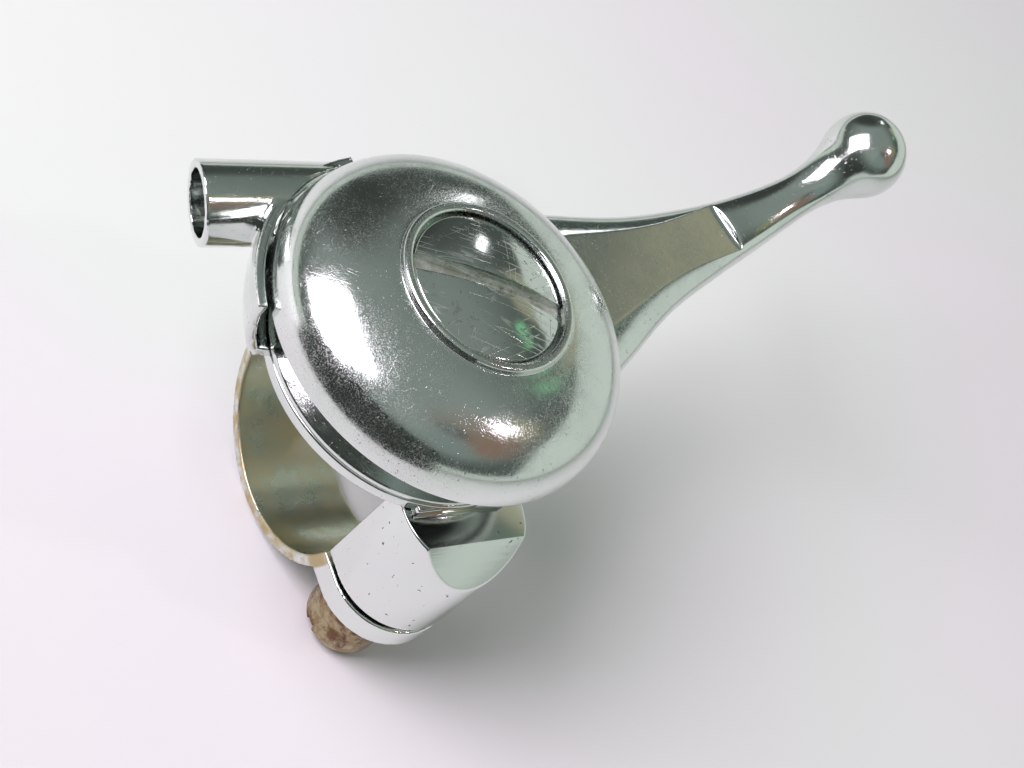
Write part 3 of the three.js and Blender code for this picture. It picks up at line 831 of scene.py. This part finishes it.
class SHIFTER_OT_body(bpy.types.Operator):
    """Body casting: plate, wall with the cable stop, lug and hinge ears"""

    bl_idname = "shifter.body"
    bl_label = "Body casting"

    def execute(self, context):
        finish = context.scene.shifter_finish
        cast = chrome_look("chrome_casting", finish, 0.5, 1.2, False, 5)
        smooth = chrome_look("chrome_plate_edge", finish, 0.4, 0.6, True, 2)
        finished(self.plate(), "body_plate", smooth, "body", ["body"])
        finished(self.cable_stop(), "body_cable_stop", cast, "body", sharp=60)
        finished(self.wall_rim(), "body_wall_rim", self.rim_look(finish), "body")
        finished(self.lug(), "body_lug", self.lug_look(finish), "body", sharp=30)
        finished(self.limb(), "body_hinge_limb", cast, "body")
        return {"FINISHED"}

    @staticmethod
    def plate():
        corners = [
            (POST_RADIUS, PLATE_BOTTOM, 0),
            (PLATE_RADIUS, PLATE_BOTTOM, 0.2),
            (PLATE_RADIUS, PLATE_TOP, 0.25),
            (POST_RADIUS, PLATE_TOP, 0),
        ]
        low, high = PLATE_TOP - 0.3, PLATE_TOP + 1.0
        stop = [(0, low, 0), (PEG_RADIUS, low, 0), (PEG_RADIUS, high, 0.2), (0, high, 0)]
        return merge(turned_z(corners, steps=200), turned_z(stop, False, 32, 0, -PEG_RING))

    @staticmethod
    def cable_stop():
        wall = spun_sector(
            [
                (12.6, PLATE_BOTTOM, 0),
                *WALL_OUTSIDE,
                (WALL_OUTER, WALL_TOP, 0),
                (WALL_INNER, WALL_TOP, 0),
                *reversed(CHAMBER_WALL),
                (12.6, PLATE_TOP, 0),
            ],
            (0, 0, 1),
            math.radians(WALL_START),
            math.radians(WALL_END),
            64,
            flat_place,
        )
        tube = rod(STOP_LEFT, STOP_RIGHT, STOP_RADIUS, STOP_Y, STOP_Z)
        room = [(0, PLATE_TOP, 0), *CHAMBER_WALL, (WALL_INNER, 24, 0), (0, 24, 0)]
        chamber = turned_z(room, False, 160)
        casing = rod(-24, CASING_SEAT, CASING_RADIUS, STOP_Y, STOP_Z)
        cable = rod(CASING_SEAT - 1, 0, CABLE_RADIUS, STOP_Y, STOP_Z, 48)
        mouth = block((-6, -8, -8), (0, 8, 8), 0)
        skew = Matrix.Rotation(math.radians(MOUTH_SKEW), 3, "Z")
        lean = skew @ Matrix.Rotation(math.radians(MOUTH_SLANT), 3, "Y")
        bmesh.ops.rotate(mouth, cent=(0, 0, 0), matrix=lean, verts=mouth.verts[:])
        bmesh.ops.translate(mouth, vec=Vector((MOUTH_X, STOP_Y, STOP_Z)) * MM, verts=mouth.verts[:])
        solid = carved(wall, [tube], [chamber, casing, cable, mouth])
        return cast_skin(solid, 0.14, 4)

    @staticmethod
    def wall_rim():
        """The ground top of the wall, just inside the cast skin's rounded corners."""
        inner, outer, low, high = WALL_INNER + 0.06, WALL_OUTER - 0.05, WALL_TOP - 1.1, WALL_TOP - 0.02
        profile = [(inner, low, 0), (outer, low, 0), (outer, high, 0.1), (inner, high, 0.1)]
        start, end = math.radians(WALL_START + 0.4), math.radians(WALL_END - 0.4)
        return spun_sector(profile, (0, 0, 1), start, end, 96, flat_place)

    @staticmethod
    def lug():
        bm = tongue(-BAR_RADIUS - 0.05, LUG_BOTTOM, LUG_TOP)
        slope = Vector((0, -LUG_SLOPE, 1.0)).normalized()
        cut_plane(bm, (0, LUG_CREASE, LUG_TOP), slope)
        sharp = [e for e in bm.edges if e.calc_face_angle(0) > math.radians(25)]
        crease = [e for e in sharp if all(abs(v.co.y / MM - LUG_CREASE) < 0.01 for v in e.verts)]
        rest = [e for e in sharp if e not in crease]
        soften(bm, rest, 0.22, 3)
        neck = block((-4.4, -14.0, 9.0), (5.6, -11.15, 12.0), 0.3)
        return merge(bm, neck)

    @staticmethod
    def limb():
        outer = HINGE_Y + 0.85
        inner, top = BAR_RADIUS + 0.05, PLATE_TOP - 0.5
        middle = block((EAR_LEFT - 0.1, inner, 1.6), (EAR_RIGHT + 0.1, outer, top), 0.35)
        left = block((CLAMP_LEFT, inner, HINGE_Z), (EAR_LEFT, outer, top), 0.35)
        right = block((EAR_RIGHT, inner, HINGE_Z), (CLAMP_RIGHT, outer, top), 0.35)
        bore = PIN_RADIUS + 0.05
        ears = []
        for start, end in ((CLAMP_LEFT, EAR_LEFT), (EAR_RIGHT, CLAMP_RIGHT)):
            profile = [
                (start, bore, 0),
                (start, HINGE_RADIUS, 0.25),
                (end, HINGE_RADIUS, 0.25),
                (end, bore, 0),
            ]
            ears.append(turned_x(profile, HINGE_Y, HINGE_Z, True, 64))
        return merge(middle, left, right, *ears)

    @staticmethod
    def rim_look(finish):
        """Ground edge with a frosted finish."""
        look = Look("frosted_edge", finish.chrome, 0.3, 1.0)
        grain = look.noise(4.0, 3.0, 0.7)
        look.set("Roughness", look.ramp(grain, 0.3, 0.7, 0.24, 0.42))
        spots = look.ramp(grain, 0.6, 0.75)
        look.set("Base Color", look.mix(spots, rgba(finish.chrome), (0.45, 0.46, 0.42, 1)))
        look.set("Normal", look.bump(grain, 0.3, 0.02))
        return look.material

    @staticmethod
    def lug_look(finish):
        """Plate over a milled top: straight tool marks on the faces that look up, smooth flanks."""
        look = Look("chrome_lug", finish.chrome, finish.gloss, 1.0)
        normal = look.add("ShaderNodeTexCoord").outputs["Normal"]
        up = look.add("ShaderNodeSeparateXYZ", {0: normal}).outputs[2]
        milled = look.ramp(up, 0.3, 0.5)
        marks = look.noise(2.6, 3.0, 0.7, look.placed((0.04, 1, 1), 0.05))
        pit = look.ramp(look.noise(2.0, 2.0, 0.5), 0.69, 0.74)
        rough = look.math("MULTIPLY_ADD", milled, 0.1, finish.gloss)
        rough = look.math("MULTIPLY_ADD", pit, 0.35, rough)
        look.set("Roughness", rough)
        look.set("Base Color", look.mix(pit, rgba(finish.chrome), rgba(finish.tarnish)))
        milling = look.bump(look.math("MULTIPLY", marks, milled), 0.25, 0.015)
        look.set("Normal", look.bump(look.noise(0.25, 1.0, 0.4), 0.15, 0.04, milling))
        return look.material


class SHIFTER_OT_strap(bpy.types.Operator):
    """Hinged strap of the clamp with its flange and hinge barrel"""

    bl_idname = "shifter.strap"
    bl_label = "Clamp strap"

    def execute(self, context):
        outer = BAR_RADIUS + STRAP_THICKNESS
        section = [
            (CLAMP_LEFT, BAR_RADIUS, 0),
            (CLAMP_LEFT, outer, 0),
            (CLAMP_RIGHT, outer, 0),
            (CLAMP_RIGHT, BAR_RADIUS, 0),
        ]
        start, end = math.radians(STRAP_START), math.radians(STRAP_END)
        band = spun_sector(section, (1, 0, 0), start, end, 120, lambda place, radius: (place, radius, 0))
        flange = tongue(FLANGE_INNER, FLANGE_BOTTOM, FLANGE_TOP)
        barrel = rod(BARREL_LEFT, BARREL_RIGHT, HINGE_RADIUS, HINGE_Y, HINGE_Z, 64)
        beside = [
            block((CLAMP_LEFT - 1, 8, -3.4), (BARREL_LEFT, 15, 2), 0),
            block((BARREL_RIGHT, 8, -3.4), (CLAMP_RIGHT + 1, 15, 2), 0),
        ]
        bar = rod(-12, 12, BAR_RADIUS, 0, 0, 160)
        pin = rod(-12, 12, PIN_RADIUS + 0.06, HINGE_Y, HINGE_Z, 48)
        hole = peg(SCREW_RADIUS + 0.35, -9, 0, SCREW_X, SCREW_Y)
        spot_face = peg(SCREW_HEAD + 0.15, -14, FLANGE_BOTTOM, SCREW_X, SCREW_Y)
        solid = carved(band, [flange], beside + [bar])
        solid = carved(solid, [barrel], [pin, hole, spot_face])
        look = self.look(context)
        finished(cast_skin(solid, 0.15, 6), "strap", look, "strap", ["clamp_strap"], 60)
        return {"FINISHED"}

    @staticmethod
    def look(context):
        """Bright plate outside, dull yellowed plate inside, and brass showing along the left edge."""
        finish = context.scene.shifter_finish
        look = Look("chrome_strap", finish.chrome, finish.gloss, 1.0)
        axes = look.add("ShaderNodeSeparateXYZ", {0: look.place}).outputs
        across, up = (look.math("MULTIPLY", axis, axis) for axis in axes[1:])
        depth = look.math("DIVIDE", look.math("SQRT", look.math("ADD", across, up)), MM)
        inside = look.ramp(depth, BAR_RADIUS + 0.3, BAR_RADIUS + 0.08)
        along = look.math("DIVIDE", axes[0], MM)
        ragged = look.math("MULTIPLY_ADD", look.noise(0.5, 4.0, 0.6), 1.6, along)
        edge = look.ramp(ragged, CLAMP_LEFT + 1.15, CLAMP_LEFT + 0.6)
        low = look.ramp(look.math("DIVIDE", axes[2], MM), -1.0, -3.0)
        on_band = look.ramp(depth, BAR_RADIUS + 1.4, BAR_RADIUS + 1.1)
        bare = look.math("MULTIPLY", look.math("MULTIPLY", edge, on_band), low)
        mottle = look.ramp(look.noise(0.22, 4.0, 0.6), 0.38, 0.62)
        dull = look.mix(mottle, (0.50, 0.53, 0.42, 1), (0.55, 0.50, 0.33, 1))
        colour = look.mix(inside, rgba(finish.chrome), dull)
        look.set("Base Color", look.mix(bare, colour, rgba(finish.brass)))
        rough = look.math("MULTIPLY_ADD", inside, 0.22, finish.gloss)
        rough = look.math("MULTIPLY_ADD", bare, 0.3, rough)
        look.set("Roughness", look.math("MULTIPLY_ADD", mottle, 0.08, rough))
        ripple = look.bump(look.noise(0.3, 2.0, 0.5), 0.5, 0.12)
        look.set("Normal", look.bump(look.noise(3.0, 3.0, 0.6), 0.2, 0.02, ripple))
        return look.material


class SHIFTER_OT_clamp_screw(bpy.types.Operator):
    """Rusty cheese-head screw under the flange, and the hinge pin"""

    bl_idname = "shifter.clamp_screw"
    bl_label = "Clamp screw and hinge pin"

    def execute(self, context):
        corners = [
            (0, SCREW_BOTTOM, 0),
            (SCREW_HEAD, SCREW_BOTTOM, 1.3),
            (SCREW_HEAD, SCREW_HEAD_TOP, 0.3),
            (SCREW_RADIUS, SCREW_HEAD_TOP, 0),
            (SCREW_RADIUS, SCREW_TIP, 0.6),
            (0, SCREW_TIP, 0),
        ]
        low = (SCREW_X - 6, SCREW_Y - 0.65, SCREW_BOTTOM - 1)
        high = (SCREW_X + 6, SCREW_Y + 0.65, SCREW_BOTTOM + 1.3)
        screw = carved(turned_z(corners, False, 96, SCREW_X, SCREW_Y), [], [block(low, high, 0)])
        rusty = self.look(context)
        finished(screw, "clamp_screw_rusty", rusty, "clamp_screw", ["clamp_screw"])
        left, right = CLAMP_LEFT + 0.1, CLAMP_RIGHT - 0.1
        profile = [(left, 0, 0), (left, PIN_RADIUS, 0.2), (right, PIN_RADIUS, 0.2), (right, 0, 0)]
        pin = turned_x(profile, HINGE_Y, HINGE_Z, False, 64)
        steel = steel_look("steel_hinge_pin", (0.42, 0.43, 0.42))
        finished(pin, "hinge_pin", steel, "body", ["clamp_hinge_pin"])
        return {"FINISHED"}

    @staticmethod
    def look(context):
        finish = context.scene.shifter_finish
        look = Look("rusty_screw", finish.rust, 0.5, 0.7)
        cover = look.ramp(look.noise(0.45, 4.0, 0.65), 0.42, 0.6)
        stain = look.ramp(look.noise(1.2, 3.0, 0.6), 0.4, 0.6)
        pale = look.mix(stain, (0.42, 0.36, 0.22, 1), (0.30, 0.22, 0.12, 1))
        look.set("Base Color", look.mix(cover, pale, rgba(finish.rust)))
        look.set("Metallic", look.ramp(cover, 0.0, 1.0, 0.95, 0.25))
        look.set("Roughness", look.ramp(cover, 0.0, 1.0, 0.28, 0.7))
        look.set("Normal", look.bump(look.noise(2.4, 4.0, 0.7), 0.6, 0.06))
        return look.material


def steel_look(name, colour, per_mm=3.0):
    """Turned steel: fine rings, small stains and a low shine."""
    look = Look(name, colour, 0.3, 1.0)
    stain = look.ramp(look.noise(0.5, 3.0, 0.6), 0.45, 0.65)
    look.set("Base Color", look.mix(stain, rgba(colour), rgba(colour, 0.6)))
    look.set("Roughness", look.ramp(stain, 0.0, 1.0, 0.24, 0.45))
    rings = look.noise(per_mm, 2.0, 0.6, look.placed((0.1, 0.1, 1.0)))
    look.set("Normal", look.bump(rings, 0.3, 0.03))
    return look.material


class SHIFTER_OT_stack(bpy.types.Operator):
    """Finishes for the post, washers, bush, spring and collar under the cap"""

    bl_idname = "shifter.stack"
    bl_label = "Pivot stack"

    def execute(self, context):
        steel = steel_look("turned_steel", (0.50, 0.52, 0.52))
        bronze = steel_look("bearing_bronze", (0.56, 0.38, 0.18), 2.0)
        fibre = Look("red_fibre", (0.14, 0.05, 0.03), 0.8, 0.0)
        fleck = fibre.ramp(fibre.noise(1.5, 4.0, 0.6), 0.4, 0.6)
        fibre.set("Base Color", fibre.mix(fleck, (0.14, 0.05, 0.03, 1), (0.22, 0.09, 0.05, 1)))
        fibre.set("Normal", fibre.bump(fibre.noise(4.0, 3.0, 0.7), 0.4, 0.05))
        looks = {
            "pivot_post": steel,
            "disc_spring": steel,
            "pressure_collar": steel,
            "lever_bush": bronze,
            "upper_friction_washer": bronze,
            "lower_friction_washer": fibre.material,
        }
        for node, look in looks.items():
            mesh = bpy.data.objects[node].data
            mesh.materials.clear()
            mesh.materials.append(look)
        return {"FINISHED"}


class SHIFTER_OT_stage(bpy.types.Operator):
    """Pale floor, soft lights, a quiet room and the camera"""

    bl_idname = "shifter.stage"
    bl_label = "Stage"

    def execute(self, context):
        stage = context.scene.shifter_stage
        floor = self.floor(stage)
        lights = self.lights(stage)
        card = self.card(stage)
        self.room(context)
        camera = self.camera(context)
        context.scene.view_settings.view_transform = "Standard"
        return {"FINISHED"}

    @staticmethod
    def floor(stage):
        bm = bmesh.new()
        bmesh.ops.create_grid(bm, x_segments=8, y_segments=8, size=3.0)
        bmesh.ops.translate(bm, vec=(0, 0, stage.floor_height), verts=bm.verts[:])
        floor = plain_object("floor", bm)
        look = Look("pale_cloth", stage.floor, 0.9, 0.0)
        tone = look.ramp(look.noise(0.012, 2.0, 0.5), 0.35, 0.65)
        pinkish = tuple(c * f for c, f in zip(stage.floor, (1.04, 0.96, 1.04)))
        look.set("Base Color", look.mix(tone, rgba(stage.floor), rgba(pinkish)))
        look.set("Normal", look.bump(look.noise(0.8, 3.0, 0.6), 0.15, 0.1))
        floor.data.materials.append(look.material)
        return floor

    @staticmethod
    def card(stage):
        """A dark upright card that the bright pieces mirror low on the camera's side: painted shade standing
        in for the camera, the photographer and the shadow they cast on the floor.
        """
        bm = bmesh.new()
        bmesh.ops.create_grid(bm, x_segments=1, y_segments=1, size=0.5)
        height = 80 * MM - stage.floor_height
        bmesh.ops.scale(bm, vec=(0.2, height, 1), verts=bm.verts[:])
        card = plain_object("dark_card", bm)
        towards = heading(208.8, 0)
        middle = towards * 92 * MM + Vector((0, 0, stage.floor_height + height / 2))
        stand = towards.to_track_quat("Z", "Y").to_matrix().to_4x4()
        card.data.transform(Matrix.Translation(middle) @ stand)
        # Painted shade: a dark tone for the camera and photographer and for their shadow on the floor, seen
        # only in reflections.
        look = Look("camera_and_painted_shade", (0.055, 0.065, 0.058), 0.9, 0.0)
        card_mottle = look.ramp(look.noise(0.4, 3.0, 0.6), 0.3, 0.7)
        look.set("Base Color", look.mix(card_mottle, (0.05, 0.06, 0.053, 1), (0.065, 0.072, 0.064, 1)))
        card.data.materials.append(look.material)
        card.visible_camera = False
        card.visible_shadow = False
        return card

    @staticmethod
    def lights(stage):
        made = []
        # name, compass angle, height angle, distance, width, height, brightness, colour
        rows = (
            ("window", 158, 47, 0.60, 0.40, 0.46, 7.0, (1.0, 0.90, 1.0)),
            ("lamp", -38, 56, 0.60, 0.035, 0.045, 26.0, (1.0, 0.86, 1.0)),
            ("strip", 43, 30, 0.70, 0.03, 0.10, 3.0, (1.0, 0.98, 1.0)),
        )
        for name, around, raised, distance, width, height, bright, colour in rows:
            data = bpy.data.lights.new(name, "AREA")
            data.shape = "RECTANGLE"
            data.size, data.size_y = width, height
            data.energy = bright * math.pi * width * height * stage.light
            data.color = colour
            lamp = bpy.data.objects.new(name, data)
            bpy.context.scene.collection.objects.link(lamp)
            towards = heading(around, raised)
            lamp.location = towards * distance
            lamp.rotation_mode = "QUATERNION"
            lamp.rotation_quaternion = towards.to_track_quat("Z", "Y")
            lamp.visible_camera = False
            made.append(lamp)
        return made

    @staticmethod
    def room(context):
        world = bpy.data.worlds.new("quiet_room")
        world.use_nodes = True
        room = Nodes(world.node_tree)
        way = room.add("ShaderNodeTexCoord").outputs["Generated"]
        tone = (0.075, 0.09, 0.082, 1)
        # compass angle, height angle, radius and softness in degrees, colour
        patches = (
            (-107, 68, 34, 22, (0.30, 0.35, 0.32, 1)),
            (-66, 54, 19, 6, (0.26, 0.17, 0.13, 1)),
            (-84, 57, 6, 3, (0.06, 0.08, 0.08, 1)),
            (-30, 50, 7, 4, (0.27, 0.26, 0.13, 1)),
            (-95, 42, 12, 6, (0.22, 0.27, 0.26, 1)),
            (120, 70, 40, 25, (0.24, 0.28, 0.26, 1)),
            (22, 33, 8, 2, (0.36, 0.35, 0.25, 1)),
            (9, 44, 3, 1, (0.25, 0.62, 0.34, 1)),
            (75, 30, 18, 10, (0.05, 0.055, 0.05, 1)),
        )
        for around, raised, radius, soft, colour in patches:
            facing = room.add(
                "ShaderNodeVectorMath", {0: way, 1: heading(around, raised)}, operation="DOT_PRODUCT"
            ).outputs["Value"]
            edge = math.cos(math.radians(radius + soft)), math.cos(math.radians(max(0, radius - soft)))
            tone = room.mix(room.ramp(facing, *edge), tone, colour)
        split = room.add("ShaderNodeSeparateXYZ", {0: way}).outputs
        aside = room.add(
            "ShaderNodeVectorMath", {0: way, 1: heading(-10, 0)}, operation="DOT_PRODUCT"
        ).outputs["Value"]
        top = room.math("MULTIPLY_ADD", room.ramp(aside, 0.62, 0.76), 0.43, 0.13)
        over = room.math("SUBTRACT", split[2], top)
        tone = room.mix(room.ramp(over, -0.012, 0.012), (0.62, 0.68, 0.63, 1), tone)
        background = world.node_tree.nodes["Background"]
        world.node_tree.links.new(tone, background.inputs[0])
        background.inputs[1].default_value = 1.0
        context.scene.world = world

    @staticmethod
    def camera(context):
        data = bpy.data.cameras.new("camera")
        data.lens = 65.26
        data.sensor_width = 36.0
        data.clip_start = 0.01
        data.clip_end = 50.0
        camera = bpy.data.objects.new("camera", data)
        context.scene.collection.objects.link(camera)
        back = Vector((-0.634, -0.348, 0.691)).normalized()
        right = Vector((0.771, -0.345, 0.535))
        right = (right - back * right.dot(back)).normalized()
        up = back.cross(right)
        turn = Matrix((right, up, back)).transposed()
        camera.matrix_world = Matrix.Translation(Vector((-97.88, -62.09, 130.53)) * MM) @ turn.to_4x4()
        context.scene.camera = camera
        return camera


class SHIFTER_PT_panel(bpy.types.Panel):
    """Lists the shifter's pieces and settings"""

    bl_idname = "SHIFTER_PT_panel"
    bl_label = "Thumb shifter"
    bl_space_type = "VIEW_3D"
    bl_region_type = "UI"
    bl_category = "Shifter"

    def draw(self, context):
        layout = self.layout
        for name in ("shifter_sizes", "shifter_finish", "shifter_stage"):
            group = getattr(context.scene, name)
            for key in group.__annotations__:
                layout.prop(group, key)
        for operator in OPERATORS:
            layout.operator(operator.bl_idname)


GROUPS = {
    "shifter_sizes": ShifterSizes,
    "shifter_finish": ShifterFinish,
    "shifter_stage": ShifterStage,
}
OPERATORS = (
    SHIFTER_OT_body,
    SHIFTER_OT_strap,
    SHIFTER_OT_clamp_screw,
    SHIFTER_OT_stack,
    SHIFTER_OT_lever,
    SHIFTER_OT_cap,
    SHIFTER_OT_pivot_screw,
    SHIFTER_OT_stage,
)


def register():
    for name, group in GROUPS.items():
        bpy.utils.register_class(group)
        setattr(bpy.types.Scene, name, bpy.props.PointerProperty(type=group))
    for cls in (*OPERATORS, SHIFTER_PT_panel):
        bpy.utils.register_class(cls)


def unregister():
    for cls in (SHIFTER_PT_panel, *reversed(OPERATORS)):
        bpy.utils.unregister_class(cls)
    for name, group in GROUPS.items():
        delattr(bpy.types.Scene, name)
        bpy.utils.unregister_class(group)


def main():
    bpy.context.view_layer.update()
    register()
    for operator in OPERATORS:
        group, name = operator.bl_idname.split(".")
        getattr(getattr(bpy.ops, group), name)()
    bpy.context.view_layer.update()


if __name__ == "__main__":
    main()
